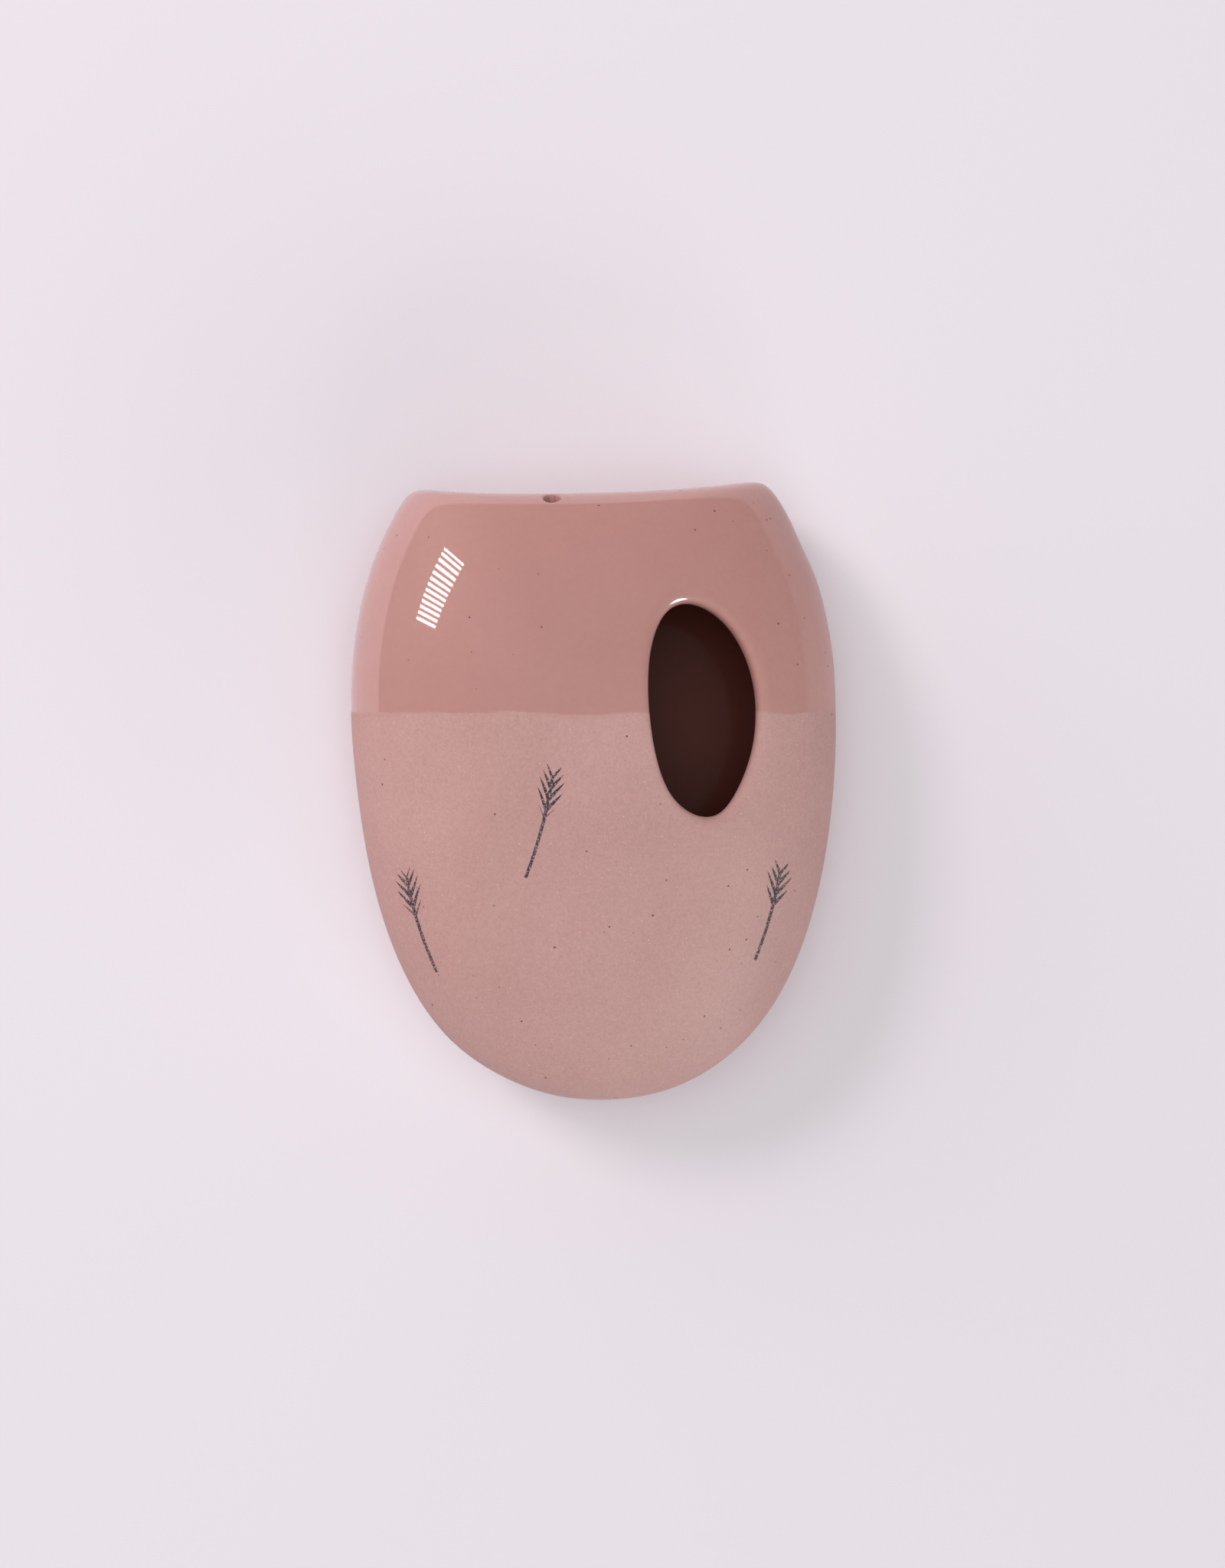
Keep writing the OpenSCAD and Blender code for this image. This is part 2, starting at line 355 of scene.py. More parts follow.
# %% Faces of the hollow get the second finish, a glaze with painted shade
vase.data.materials.append(bpy.data.materials.new("blush_porcelain"))
vase.data.materials.append(bpy.data.materials.new("hollow_glaze_painted_shade"))
in_hollow = ring_of_face > out_n + rim_n
vase.data.polygons.foreach_set("material_index", in_hollow.astype(int))
print("faces of the hollow:", int(in_hollow.sum()), "of", len(in_hollow))

# %% [markdown]
# ## Stem hole
# The stem hole was drilled through the damp clay and its rim wiped soft. A boolean cuts it, as a
# drill does. A bevel of the cut's edge would trip over the many small faces there, so the mesh is
# made finer around the hole first, and the rim's rounding is pressed in before the cut.

# %% Where the stem hole lies
stem_r, stem_rim = 1.95 * MM, 0.55 * MM
stem_slope = math.radians(63)
stem_axis = np.array([0, -math.cos(stem_slope), math.sin(stem_slope)])
stem_xy = np.array([-7.8 * MM, middle[1] - 19.35 * MM])
low, high = 0, crown_h
for _ in range(halvings):
    half = (low + high) / 2
    inside = level(np.array([*stem_xy, half + widest_z]), 0) < 1
    low, high = (half, high) if inside else (low, half)
stem_c = np.array([*stem_xy, low + widest_z])
print("stem hole, mm:", (stem_c / MM).round(2))


# %% Read a mesh's points, and choose its faces
def corners(piece):
    flat = np.empty(3 * len(piece.data.vertices))
    piece.data.vertices.foreach_get("co", flat)
    return flat.reshape(-1, 3)


def choose(piece, faces):
    piece.data.vertices.foreach_set("select", np.zeros(len(piece.data.vertices), bool))
    piece.data.edges.foreach_set("select", np.zeros(len(piece.data.edges), bool))
    piece.data.polygons.foreach_set("select", faces)


# %% Finer mesh and a soft rim around the stem hole
finer_r, moved_r, outer_level = 5 * MM, 7 * MM, 0.97
centres = np.empty(3 * len(vase.data.polygons))
vase.data.polygons.foreach_get("center", centres)
centres = centres.reshape(-1, 3)
near = (np.linalg.norm(centres - stem_c, axis=1) < finer_r) & (level(centres, 0) > outer_level)
choose(vase, near)
bpy.ops.object.mode_set(mode="EDIT")
bpy.ops.mesh.subdivide(number_cuts=3)
bpy.ops.object.mode_set(mode="OBJECT")

places = corners(vase)
off = places - stem_c
near = (np.linalg.norm(off, axis=1) < moved_r) & (level(places, 0) > outer_level)
places[near] = skin(direction(places[near], 0), 0)
off = places - stem_c
aside = np.linalg.norm(off - np.outer(off @ stem_axis, stem_axis), axis=1)
over = np.clip((stem_r + stem_rim - aside) / stem_rim, 0, 1)
press = stem_rim * (1 - np.sqrt(1 - over ** 2))
places[near] -= press[near, None] * stem_axis
vase.data.vertices.foreach_set("co", places.ravel())
vase.data.update()
print("vertices near the stem hole:", int(near.sum()))

# %% [markdown]
# ## Keyhole
# The keyhole in the back is a round entry for the screw's head with a slot above it, both with a
# small chamfer. A potter pushes a tool of that shape through the damp clay, and so does this cell:
# two cylinders and a box are joined, their ends flare for the chamfer, and a boolean cuts once.
# Insets in the back's own faces would follow the rings of the mesh and not the round entry.

# %% A tool for the keyhole, and the boolean
slot_r, entry_r, lift, chamfer = 2.3 * MM, 4.75 * MM, 9.5 * MM, 0.45 * MM
sideways = (math.radians(90), 0, 0)
cut_depth, past_face = 6 * MM, 1 * MM
same_plane = 1e-6


def cutter(name, add, grow, **settings):
    """A tool along Y whose end at the back's face flares by a chamfer."""
    bpy.ops.object.select_all(action="DESELECT")
    add(**settings)
    tool = bpy.context.object
    tool.name = name
    bpy.ops.object.transform_apply(location=True, rotation=True, scale=True)
    ends = np.array([f.center[1] for f in tool.data.polygons])
    choose(tool, ends > ends.max() - same_plane)
    bpy.ops.object.mode_set(mode="EDIT")
    bpy.ops.mesh.select_mode(type="FACE")
    bpy.ops.mesh.extrude_region_move(TRANSFORM_OT_translate={"value": (0, chamfer, 0)})
    bpy.ops.transform.resize(value=grow)
    bpy.ops.mesh.extrude_region_move(TRANSFORM_OT_translate={"value": (0, past_face, 0)})
    bpy.ops.mesh.select_all(action="SELECT")
    bpy.ops.mesh.normals_make_consistent(inside=False)
    bpy.ops.object.mode_set(mode="OBJECT")
    return tool


def boolean(piece, tool, operation):
    bpy.ops.object.select_all(action="DESELECT")
    piece.select_set(True)
    bpy.context.view_layer.objects.active = piece
    step = piece.modifiers.new(operation.lower(), "BOOLEAN")
    step.operation, step.solver, step.object = operation, "EXACT", tool
    bpy.ops.object.modifier_apply(modifier=step.name)
    bpy.data.objects.remove(tool)


# %% Cut the stem hole and the keyhole
off_plane = 0.03 * MM    # a cut is the same each run only if no face lies in another's plane
mid_y = back_y - chamfer - cut_depth / 2 + off_plane
entry = cutter("entry", bpy.ops.mesh.primitive_cylinder_add, (1 + chamfer / entry_r,) * 3,
               vertices=64, radius=entry_r, depth=cut_depth, location=(0, mid_y, -lift),
               rotation=sideways)
slot_top = cutter("slot_top", bpy.ops.mesh.primitive_cylinder_add, (1 + chamfer / slot_r,) * 3,
                  vertices=48, radius=slot_r, depth=cut_depth, location=(0, mid_y, 0),
                  rotation=sideways)
slot = cutter("slot", bpy.ops.mesh.primitive_cube_add, (1 + chamfer / slot_r, 1, 1),
              size=1, location=(0, mid_y + off_plane, -lift / 2),
              scale=(2 * slot_r, cut_depth, lift))
boolean(entry, slot, "UNION")
boolean(entry, slot_top, "UNION")
bpy.ops.object.select_all(action="DESELECT")
bpy.ops.mesh.primitive_cylinder_add(
    vertices=48, radius=stem_r, depth=3 * wall_t, location=Vector(stem_c),
    rotation=(math.radians(90) - stem_slope, 0, 0))
drill = bpy.context.object
bpy.ops.object.transform_apply(location=True, rotation=True, scale=True)
boolean(vase, drill, "DIFFERENCE")
boolean(vase, entry, "DIFFERENCE")
print("shell after the cuts:", len(vase.data.polygons), "faces")

# %% [markdown]
# ## Finishes
# Every finish is built from nodes, so that it has no picture and stays sharp from close by. A chain
# of Math nodes is hard to read, so sums on sockets are written as Python sums here: a small class
# holds a socket and adds the Math nodes, and its node method adds any other node.


# %% A socket that can be reckoned with
class Wire:
    def __init__(self, tree, socket=None):
        self.tree, self.socket = tree, socket

    def node(self, kind, settings=(), inputs=(), output=0):
        made = self.tree.nodes.new("ShaderNode" + kind)
        for name, value in dict(settings).items():
            setattr(made, name, value)
        for name, value in dict(inputs).items():
            if isinstance(value, Wire):
                self.tree.links.new(value.socket, made.inputs[name])
            elif isinstance(value, tuple) and len(value) == 3 and made.inputs[name].type == "RGBA":
                made.inputs[name].default_value = (*value, 1)
            else:
                made.inputs[name].default_value = value
        return Wire(self.tree, made.outputs[output])

    def surface(self, kind="Material"):
        end = self.tree.nodes.new("ShaderNodeOutput" + kind)
        self.tree.links.new(self.socket, end.inputs["Surface"])

    def reckon(self, operation, *values):
        return self.node("Math", {"operation": operation}, dict(enumerate(values)))

    def __add__(self, other): return self.reckon("ADD", self, other)
    def __radd__(self, other): return self.reckon("ADD", other, self)
    def __sub__(self, other): return self.reckon("SUBTRACT", self, other)
    def __rsub__(self, other): return self.reckon("SUBTRACT", other, self)
    def __mul__(self, other): return self.reckon("MULTIPLY", self, other)
    def __rmul__(self, other): return self.reckon("MULTIPLY", other, self)
    def __truediv__(self, other): return self.reckon("DIVIDE", self, other)
    def __rtruediv__(self, other): return self.reckon("DIVIDE", other, self)
    def __pow__(self, other): return self.reckon("POWER", self, other)
    def __mod__(self, other): return self.reckon("FLOORED_MODULO", self, other)
    def __abs__(self): return self.reckon("ABSOLUTE", self)
    def __lt__(self, other): return self.reckon("LESS_THAN", self, other)
    def __gt__(self, other): return self.reckon("GREATER_THAN", self, other)

    def ramp(self, low, high):
        """0 below low and 1 above high, smooth between."""
        return self.node("MapRange", {"interpolation_type": "SMOOTHSTEP"},
                         {"Value": self, "From Min": low, "From Max": high})

    def mix(self, first, second):
        """Colour first where this is 0, second where it is 1."""
        return self.node("Mix", {"data_type": "RGBA"}, {0: self, 6: first, 7: second}, 2)


def material(name):
    made = bpy.data.materials.get(name) or bpy.data.materials.new(name)
    made.use_nodes = True
    made.node_tree.nodes.clear()
    return made, Wire(made.node_tree)


def finish_with(board, settings):
    board.node("BsdfPrincipled", {}, settings).surface()


def srgb(*rgb):
    """The colour of a shader from the 0 to 255 values of a colour picker."""
    return tuple(((v / 255 + 0.055) / 1.055) ** 2.4 if v > 10 else v / 255 / 12.92 for v in rgb)


# %% [markdown]
# ### Porcelain
# The clay is stained pink all through. Its upper third was dipped in clear glaze, which makes the
# colour deeper and gives a wet gloss with a line where the dip ended. Below that the clay is bare
# and sanded: matt, with a fine grain. Small iron specks came up in the firing. Two materials with
# a border of faces between them would give a hard, stepped line, so one material holds both and a
# mask on Object coordinates, which stay put when the vase is lifted, says where the glaze is.

# %% Dip line and grain
_, board = material("blush_porcelain")
place = board.node("TexCoord", output="Object")
x, y, z = (board.node("SeparateXYZ", {}, {0: place}, k) for k in range(3))
dip_z, dip_lean, dip_back = -28.4 * MM, 0.0243, 0.031
dip_edge, dip_wander = 0.35 * MM, 2.2 * MM
front_y = middle[1] - front_d


def noise(board, place, scale, detail):
    return board.node("TexNoise", {}, {"Vector": place, "Scale": scale, "Detail": detail})


wander = noise(board, place, 75, 1)
above_dip = z + x * dip_lean - (y - front_y) * dip_back + (wander - 0.5) * dip_wander
glazed = above_dip.ramp(dip_z - dip_edge, dip_z + dip_edge)
thin_glaze = (above_dip.ramp(dip_z - 1.1 * MM, dip_z - 0.7 * MM)
              * noise(board, place, 55, 1).ramp(0.5, 0.6))
grain = noise(board, place, 1700, 2)
fine = noise(board, place, 5200, 1)
cloud = noise(board, place, 45, 3)
mottle = noise(board, place, 700, 2)
print("dip line at the front, mm:", round(dip_z / MM, 1))


# %% Specks
def specks(board, place, scale, radius):
    """Round specks of a radius, as dots where the cells' centres meet the surface."""
    cell = board.node("TexVoronoi", {}, {"Vector": place, "Scale": scale})
    shade = board.node("TexVoronoi", {}, {"Vector": place, "Scale": scale}, "Color")
    strong = board.node("SeparateColor", {}, {0: shade}).ramp(0.1, 0.7)
    return (1 - cell.ramp(0.7 * radius * scale, 1.3 * radius * scale)) * strong


iron = specks(board, place, 240, 0.25 * MM)
pale = specks(board, place, 620, 0.13 * MM)
print("nodes of the porcelain so far:", len(board.tree.nodes))

# %% [markdown]
# ### Ears of grass
# Three ears of grass are drawn on the bare clay in dark blue-grey under-glaze pencil. Each is
# reckoned in its own flat frame on the front: one curved line for the stalk, and short slanted
# strokes that repeat up both sides of it. Noise breaks the lines as a pencil does on bisque. Lines
# as thin pieces of mesh would lie on the clay and catch the light, and a pencil's don't.


# %% One ear of grass
def ear(base, tip, curve, pitch=2.4 * MM, longest=3.2 * MM, line=0.5 * MM):
    """A stalk from base to tip, in mm, that bows by curve, with strokes up its upper half."""
    base, tip = np.array(base) * MM, np.array(tip) * MM
    length = float(np.hypot(*(tip - base)))
    slope, first, last, fullest = 1.55, 0.52, 0.9, 0.66
    ux, uz = ((tip - base) / length).tolist()
    u = (x - float(base[0])) * ux + (z - float(base[1])) * uz
    v = (x - float(base[0])) * -uz + (z - float(base[1])) * ux
    v = v - (u / length) ** 2 * (curve * MM) + (u / length) * (curve * MM)
    side = abs(v)
    stalk = (1 - side.ramp(0.5 * line, 0.95 * line)) * u.ramp(0, 0.4 * MM)
    stalk = stalk * (1 - u.ramp(length - 3 * MM, length - 2 * MM))
    slant = u - side * slope
    grown = (slant / length - first).ramp(0, 0.02) * (1 - (slant / length - last).ramp(0, 0.02))
    taper = 1 - abs(slant / length - fullest) * 2.0
    apart = abs((slant % pitch) - pitch / 2)
    long = side / (taper * longest)
    thick = (1 - long * long) * line * 1.5
    stroke = (1 - (apart - thick).ramp(0 - 0.3 * line, 0.3 * line)) * (1 - long.ramp(0.9, 1.05))
    return board.reckon("MAXIMUM", stalk, stroke * grown)


# %% Three of them, on the front only
drawn = ear((-36.0, -85.0), (-42.5, -61.0), -3.5)
for base, tip, curve in (((-15.5, -64.0), (-8.5, -39.5), 3.0),
                         ((34.5, -84.0), (41.0, -62.0), 2.6)):
    drawn = board.reckon("MAXIMUM", drawn, ear(base, tip, curve))
pencil = noise(board, place, 2600, 2)
drawn = drawn * (y < middle[1]) * pencil.ramp(0.3, 0.52) * (0.8 + cloud * 0.35)
print("nodes with the ears of grass:", len(board.tree.nodes))

# %% [markdown]
# ### Colour, gloss and grain together
# Thin layers are mixed over each other in the order in which they came: clay, glaze, specks and
# pencil. The glaze is the shader's coat, a clear layer with its own sharp reflection. Its weight
# falls to the right, where it mirrors less. The step at the dip line is a bump of the mask.

# %% The porcelain's shader
bare = ((grain * 0.4 + mottle * 0.16 + fine * 0.16 + cloud * 0.28).ramp(0.22, 0.78)
        ).mix(srgb(182, 138, 132), srgb(203, 160, 154))
bare = (pale * 0.65).mix(bare, srgb(232, 200, 195))
wet = (cloud * 0.5 + mottle * 0.35 + grain * 0.15).mix(srgb(182, 128, 120), srgb(199, 145, 137))
to_right = x.ramp(18 * MM, 46 * MM)
colour = (board.reckon("MAXIMUM", glazed, thin_glaze * 0.35) * (1 - to_right * 0.15)).mix(bare, wet)
colour = (iron * 0.9).mix(colour, srgb(92, 58, 54))
colour = drawn.mix(colour, srgb(44, 42, 54))
relief = board.node("Bump", {}, {"Height": glazed, "Strength": 0.25, "Distance": 0.2 * MM})
relief = board.node("Bump", {}, {"Height": (grain + fine * 0.5) * (1 - glazed * 0.93),
                                 "Strength": 0.22, "Distance": 0.15 * MM, "Normal": relief})
finish_with(board, {
    "Base Color": colour, "Roughness": 0.66 - glazed * 0.16, "Specular IOR Level": 0.4,
    "Coat Weight": glazed * (1 - to_right * 0.65), "Coat Roughness": 0.03,
    "Coat IOR": 1.7, "Normal": relief})
print("nodes of the porcelain:", len(board.tree.nodes))

# %% [markdown]
# ### Glaze of the hollow, with painted shade
# The hollow was rinsed with a clear glaze over the pink clay. Its colour is painted a deep, dark
# red-brown instead of pink: painted shade, because little light reaches it. It is also plainer
# than the outside.

# %% The hollow's shader
_, board = material("hollow_glaze_painted_shade")
cloud = noise(board, board.node("TexCoord", output="Object"), 60, 3)
finish_with(board, {
    # The dark red-brown base is painted shade of the dim hollow; the clay under this glaze is pink.
    "Base Color": cloud.mix(srgb(106, 40, 24), srgb(116, 45, 27)), "Roughness": 0.5,
    "Specular IOR Level": 0.2, "Coat Weight": 0.6, "Coat Roughness": 0.04, "Coat IOR": 1.6})
print("nodes of the hollow's glaze:", len(board.tree.nodes))

# %% Smooth the shell and say what it stands for
bpy.ops.object.select_all(action="DESELECT")
vase.select_set(True)
bpy.context.view_layer.objects.active = vase
bpy.ops.object.shade_smooth_by_angle(angle=math.radians(40))

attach(vase, "vase")
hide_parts("vase_body")
print("vase:", len(vase.data.vertices), "points,", [m.name for m in vase.data.materials])

# %% [markdown]
# ## Screw, plug and pads
# These are hidden from the front: a zinc-plated pan head screw, a nylon plug in the wall, and two
# discs of wool felt. One helper makes their finishes, because each is one colour with a fine fleck.
# The plug is shown as it comes from the CAD model, which has its ribs, and only gets its finish.


# %% Plain finishes of the small pieces
def plain(name, low, high, scale, relief, **settings):
    made, board = material(name)
    place = board.node("TexCoord", output="Object")
    fleck = noise(board, place, scale, 3)
    bump = board.node("Bump", {}, {"Height": fleck, "Strength": 0.5, "Distance": relief})
    finish_with(board, {"Base Color": fleck.mix(low, high), "Normal": bump, **settings})
    return made


steel = plain("zinc_steel", srgb(170, 172, 176), srgb(208, 209, 210), 900, 0.02 * MM,
              Metallic=1.0, Roughness=0.32)
nylon = plain("grey_nylon", srgb(158, 162, 166), srgb(174, 178, 182), 700, 0.03 * MM, Roughness=0.5)
felt = plain("wool_felt", srgb(206, 199, 190), srgb(236, 232, 226), 1900, 0.3 * MM, Roughness=0.95)
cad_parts["wall_plug"].material_slots[0].material = nylon
print("plain finishes:", steel.name, nylon.name, felt.name)

# %% [markdown]
# ### Screw
# The vase hangs on a pan head screw. A disc is drawn out along its axis ring by ring with extrude
# and resize. Spin could turn the same outline, but then its poles would need closing. The rings
# along the shank are close together, because the thread needs them.

# %% Screw: a radius and a place along Y for each ring, in mm
crown_r, crown_round, crown_y = 2.8, 1.2, -7.2
shank_r, tip_r, tip_taper, tip_y = 1.98, 0.4, 0.4, 26.2
screw_rings = [(crown_r + crown_round * math.sin(a), crown_y - crown_round * math.cos(a))
               for a in np.linspace(0, math.pi / 2, 6)]
screw_rings += [(4, -5.95), (3.85, -5.8), (2.15, -5.8), (shank_r, -5.6)]
screw_rings += [(min(shank_r, tip_r + tip_taper * (tip_y - at)), at)
                for at in np.linspace(-5.4, tip_y, 176)]
bpy.ops.object.select_all(action="DESELECT")
bpy.ops.mesh.primitive_circle_add(vertices=48, radius=screw_rings[0][0] * MM, fill_type="NGON",
                                  location=(0, screw_rings[0][1] * MM, 0), rotation=sideways)
screw = bpy.context.object
screw.name = "pan_head_screw"
bpy.ops.object.transform_apply(location=True, rotation=True, scale=True)
bpy.ops.object.mode_set(mode="EDIT")
bpy.ops.mesh.select_mode(type="FACE")
bpy.ops.mesh.select_all(action="SELECT")
for (was_r, was_y), (r, at) in zip(screw_rings, screw_rings[1:]):
    bpy.ops.mesh.extrude_region_move(TRANSFORM_OT_translate={"value": (0, (at - was_y) * MM, 0)})
    bpy.ops.transform.resize(value=(r / was_r,) * 3, center_override=(0, at * MM, 0))
bpy.ops.mesh.select_all(action="SELECT")
bpy.ops.mesh.normals_make_consistent(inside=False)
bpy.ops.object.mode_set(mode="OBJECT")
print("screw:", len(screw_rings), "rings")

# %% [markdown]
# ### Thread and recess
# The thread is pressed in by code: a point's turn round the shank and its place along it say how
# near the crest it is. The Screw modifier makes a loose ribbon that would still have to be joined
# to the shank. The cross recess is cut by two bars that taper inwards, as a driver's bit does.

# %% Press the thread in
thread_pitch, thread_deep, crest = 1.8 * MM, 0.25, 0.24
thread_from, thread_fade = -4.5 * MM, 1.5 * MM
places = corners(screw)
turn = np.arctan2(places[:, 2], places[:, 0]) / (2 * math.pi)
apart = abs((places[:, 1] / thread_pitch - turn) % 1 - 0.5)
fade = np.clip((places[:, 1] - thread_from) / thread_fade, 0, 1)
places[:, ::2] *= (1 - thread_deep * fade * np.clip(apart / crest, 0, 1))[:, None]
screw.data.vertices.foreach_set("co", places.ravel())
screw.data.update()
print("thread:", round(thread_pitch / MM, 1), "mm pitch")

# %% Cut the recess
recess_y, bar_size, bar_taper = -7.9 * MM, (4.6 * MM, 2 * MM, 1.1 * MM), 0.5
for turned, deeper in ((0, 0), (90, off_plane)):
    bpy.ops.object.select_all(action="DESELECT")
    bpy.ops.mesh.primitive_cube_add(size=1, location=(0, recess_y + deeper, 0),
                                    rotation=(0, math.radians(turned), 0), scale=bar_size)
    bar = bpy.context.object
    bpy.ops.object.transform_apply(location=True, rotation=True, scale=True)
    ends = np.array([f.center[1] for f in bar.data.polygons])
    choose(bar, ends > ends.max() - same_plane)
    bpy.ops.object.mode_set(mode="EDIT")
    bpy.ops.mesh.select_mode(type="FACE")
    bpy.ops.transform.resize(value=(bar_taper, 1, bar_taper), center_override=(0, 0, 0))
    bpy.ops.object.mode_set(mode="OBJECT")
    boolean(screw, bar, "DIFFERENCE")
bpy.ops.object.shade_smooth_by_angle(angle=math.radians(35))
screw.data.materials.clear()
screw.data.materials.append(steel)
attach(screw, "wall_fixing")
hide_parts("wall_screw")
print("screw:", len(screw.data.polygons), "faces")

# %% [markdown]
# ### Felt pads
# The pads are punched from wool felt and stuck low on the back. A cylinder with a bevelled edge is
# the plain disc. Insets give its flat faces rings of points, and a small wave round the edge makes
# it look cut by hand. Cloth simulation would add nothing to a disc that lies pressed on the wall.

# %% Felt pads
pad_r, pad_x, pad_z = 5 * MM, 17 * MM, -84 * MM
pad_edge, pad_rings, pad_ring_w = 0.35 * MM, 6, 0.7 * MM
cut_wave = 0.006


def felt_pad(side, x):
    bpy.ops.object.select_all(action="DESELECT")
    bpy.ops.mesh.primitive_cylinder_add(vertices=72, radius=pad_r, depth=pad_t,
                                        location=(x, -pad_t / 2, pad_z), rotation=sideways)
    pad = bpy.context.object
    pad.name = "felt_pad_" + side
    bpy.ops.object.transform_apply(location=True, rotation=True, scale=True)
    edge = pad.modifiers.new("round_edge", "BEVEL")
    edge.width, edge.segments, edge.limit_method = pad_edge, 3, "ANGLE"
    bpy.ops.object.modifier_apply(modifier=edge.name)
    choose(pad, np.array([len(f.vertices) > 4 for f in pad.data.polygons]))
    bpy.ops.object.mode_set(mode="EDIT")
    bpy.ops.mesh.select_mode(type="FACE")
    for _ in range(pad_rings):
        bpy.ops.mesh.inset(thickness=pad_ring_w)
    bpy.ops.object.mode_set(mode="OBJECT")
    places = corners(pad)
    turn = np.arctan2(places[:, 2] - pad_z, places[:, 0] - x)
    hand_cut = 1 - cut_wave * (2 + np.sin(3 * turn + x / MM) + np.sin(7 * turn))
    for axis, centre in ((0, x), (2, pad_z)):
        places[:, axis] = centre + (places[:, axis] - centre) * hand_cut
    pad.data.vertices.foreach_set("co", places.ravel())
    pad.data.update()
    bpy.ops.object.shade_smooth_by_angle(angle=math.radians(40))
    pad.data.materials.append(felt)
    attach(pad, "vase")
    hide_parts("wall_pad_" + side)
    print(pad.name + ":", len(pad.data.polygons), "faces")


felt_pad("left", -pad_x)
felt_pad("right", pad_x)

# %% [markdown]
# ## Wall
# The vase hangs, so the wall is the ground of this scene, and there is no floor, which would stand
# in the way of the low light. The wall is clear from behind and for the short rays between it and
# the vase's back, so that the back can be looked at and isn't black. It stands a hair off the pads'
# faces, because two faces in one plane flicker.

# %% Wall
clear_within = 6 * MM
bpy.ops.object.select_all(action="DESELECT")
bpy.ops.mesh.primitive_plane_add(size=4, location=(0, off_plane, 0), rotation=sideways)
wall = bpy.context.object
wall.name = "pale_wall"
paint, board = material("wall_paint")
back = board.node("NewGeometry", output="Backfacing")
length = board.node("LightPath", output="Ray Length")
gone = board.reckon("MAXIMUM", back, length < clear_within)
shade = board.node("BsdfDiffuse", {}, {"Color": srgb(235, 229, 235)})
clear = board.node("BsdfTransparent")
board.node("MixShader", {}, {0: gone, 1: shade, 2: clear}).surface()
wall.data.materials.append(paint)
print("wall:", round(wall.dimensions.x, 1), "m wide")

# %% [markdown]
# ## Light of the room
# A bright room lights the vase from all round, more from the front, the top left and the low right.
# Large lamps for each would show as patches in the glaze, so the world's strength changes with the
# direction instead. Mirror rays see a dim room in front, which keeps the glaze's colour deep, and
# the camera sees plain white wall colour past the wall's edge.

# %% Light of the room
lobe_power, front_mirrored = 10, 0.1
world = bpy.context.scene.world or bpy.data.worlds.new("room")
bpy.context.scene.world = world
world.use_nodes = True
world.node_tree.nodes.clear()
board = Wire(world.node_tree)
toward = board.node("TexCoord", output="Generated")
east, north, up = (board.node("SeparateXYZ", {}, {0: toward}, k) for k in range(3))
room_light = (((0, -1, 0), 3.04), ((-0.29, -0.81, 0.51), 0.3), ((0.82, -0.45, 0.34), 0.03),
              ((0, -0.07, 1), 1.0), ((-0.7, -0.07, 0.7), 2.6), ((-1, -0.07, 0), 1.15),
              ((0, -0.07, -1), 1.0), ((0.7, -0.07, -0.7), 3.1), ((0, 1, 0), 3.2))
soft = 0.0
for way, share in room_light:
    dx, dy, dz = (v / math.hypot(*way) for v in way)
    facing = east * dx + north * dy + up * dz
    soft = soft + board.reckon("MAXIMUM", facing, 0.0) ** lobe_power * share
seen = board.node("LightPath", output="Is Camera Ray")
shiny = board.node("LightPath", output="Is Glossy Ray")
behind = north.ramp(-0.02, 0.02)
mirrored = behind + (1 - behind) * front_mirrored
strength = (soft * (1 - shiny) + mirrored * shiny) * (1 - seen) + seen
tint = seen.mix(srgb(253, 255, 255), srgb(238, 228, 235))
board.node("Background", {}, {"Color": tint, "Strength": strength}).surface("World")
print("room light from", len(room_light), "directions")

# %% [markdown]
# ## Lamps
# The shadow on the wall and the highlight in the glaze need light from two places, so the key lamp
# makes the shadow and isn't mirrored, and the window is only mirrored. In the same way the low
# light softens the shadow, and the low card is only seen as a sheen at the low right of the vase.

# %% Lamps
aim, lamp_far = Vector((0, -20 * MM, -45 * MM)), 1.5


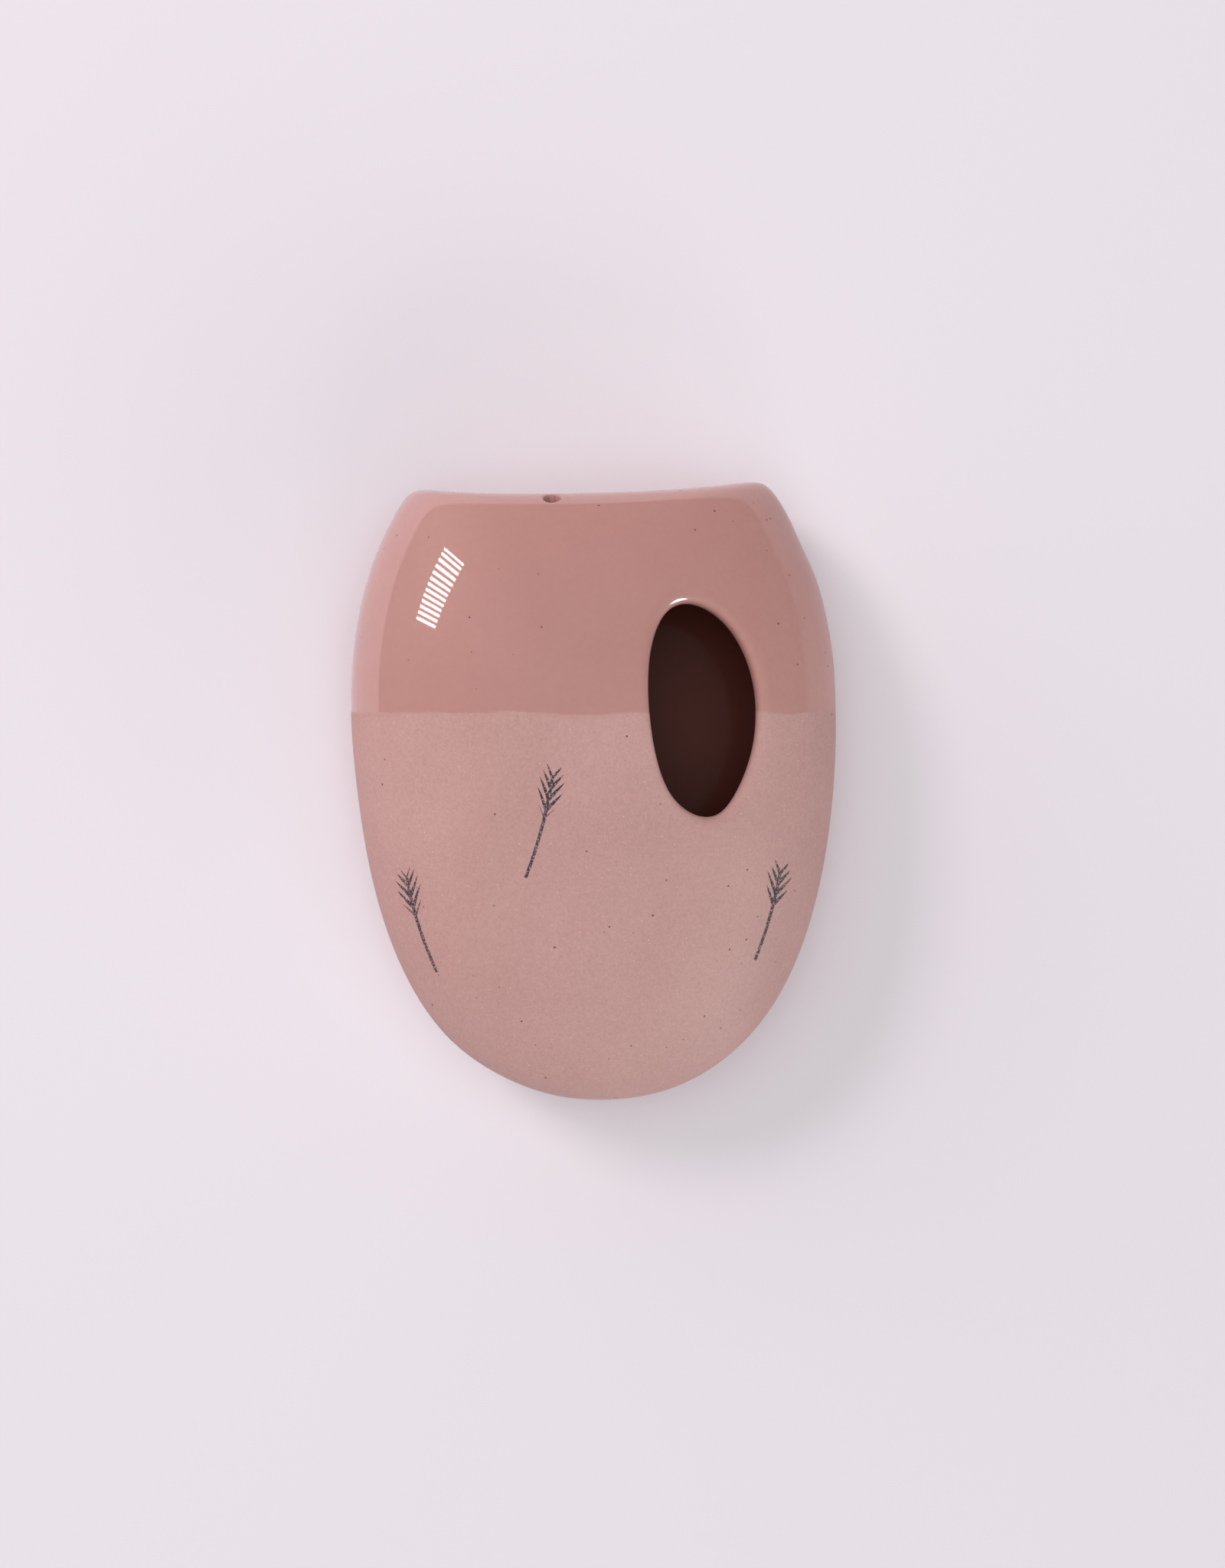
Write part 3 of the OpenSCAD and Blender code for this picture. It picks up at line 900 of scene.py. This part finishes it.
def lamp(name, toward, wide, high, watts, faces=None, upright=(0, 0, 1)):
    """A lamp seen from the vase in the direction toward; faces is where its back points."""
    made = bpy.data.lights.new(name, "AREA")
    made.shape, made.size, made.size_y, made.energy = "RECTANGLE", wide, high, watts
    holder = bpy.data.objects.new(name, made)
    bpy.context.scene.collection.objects.link(holder)
    back = Vector(faces or toward).normalized()
    side = Vector(upright).cross(back).normalized()
    holder.location = aim + lamp_far * Vector(toward).normalized()
    holder.rotation_euler = Matrix((side, back.cross(side), back)).transposed().to_euler()
    return holder


key = lamp("key", (-0.562, -0.65, 0.511), 0.34, 0.43, 6.2)
key.data.color = (1, 0.83, 0.88)
key.visible_glossy = False
low_light = lamp("low_light", (0.17, -0.52, -0.83), 0.36, 0.36, 1.5)
low_light.visible_glossy = False
low_card = lamp("low_card", (0.6, -0.48, -0.64), 0.6, 0.6, 18)
low_card.visible_diffuse = False
window = lamp("window", (-0.736, -0.553, 0.389), 0.345, 0.51, 5.5,
              faces=(-0.601, -0.179, 0.779), upright=(0.776, 0.102, 0.623))
window.visible_diffuse = False
print("lamps:", [holder.name for holder in (key, low_light, low_card, window)])

# %% [markdown]
# ### Slats over the window
# The highlight is cut into bright rows, as by a blind. Thirteen lamps in a row would slow the
# picture down, so the window's own light gets stripes. The wide and the dark part of a row are
# chosen so that the rows stay apart when the picture is small.

# %% Stripes in the window's light
slats, pane_strength = 13, 1.7
window.data.use_nodes = True
window.data.node_tree.nodes.clear()
board = Wire(window.data.node_tree)
over_pane = board.node("NewGeometry", output="Parametric")
row = board.node("SeparateXYZ", {}, {0: over_pane}, "Y") * slats % 1
slat = 1 - abs(row - 0.5).ramp(0.19, 0.27)
board.node("Emission", {}, {"Strength": slat * pane_strength}).surface("Light")
print("window:", slats, "bright rows")

# %% [markdown]
# ## Camera
# The camera looks straight at the wall from about half a metre. Its place, lens and small tilt
# were found from the vase's outline in the photo, so it is set by numbers and not aimed.

# %% Camera
camera = bpy.data.cameras.new("view_from_the_front")
camera.lens = 53.17
camera.sensor_width = 36
viewer = bpy.data.objects.new("view_from_the_front", camera)
bpy.context.scene.collection.objects.link(viewer)
viewer.location = (3.96 * MM, -549.5 * MM, -43.9 * MM)
viewer.rotation_euler = (math.radians(90), math.radians(1.39), 0)
bpy.context.scene.camera = viewer
bpy.context.scene.view_settings.view_transform = "Standard"
print("camera:", round(-viewer.location.y, 2), "m from the wall")
